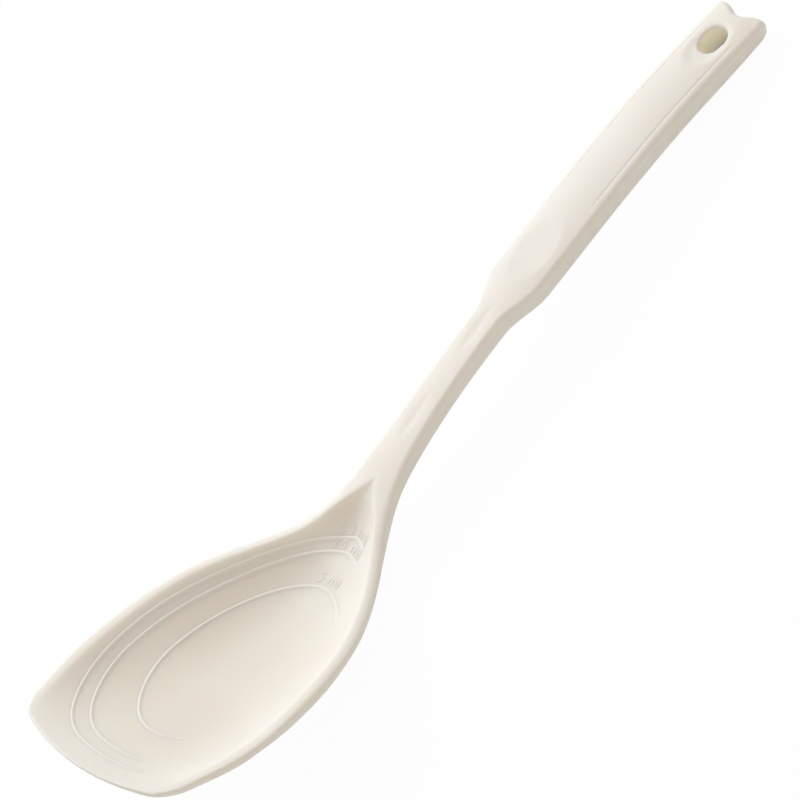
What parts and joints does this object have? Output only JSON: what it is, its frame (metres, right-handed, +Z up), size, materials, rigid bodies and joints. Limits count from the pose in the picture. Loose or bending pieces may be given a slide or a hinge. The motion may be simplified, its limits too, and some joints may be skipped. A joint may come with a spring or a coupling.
{
  "type": "spoon spatula",
  "caption": "Silicone spoon spatula with a deep leaf-shaped bowl, blunt scraping lip, slim stem and a wider grip with a hang hole, moulded round a stiff core",
  "frame": {"origin": "centre of the overall box in X and Y, on the ground that the spoon rests on with its hollow side up", "axes": "+X runs from the scraping lip to the handle's end, +Y to the spoon's left as seen from the lip's end with the hollow up, +Z up"},
  "size_m": [0.2776, 0.0688, 0.0482],
  "materials": {
    "silicone": "matt cream silicone",
    "nylon": "moulded",
    "steel": "drawn"
  },
  "bodies": {
    "root": {"upper_skin": "silicone", "lower_skin": "silicone", "nylon_core": "nylon", "steel_spine": "steel"}
  },
  "joints": []
}
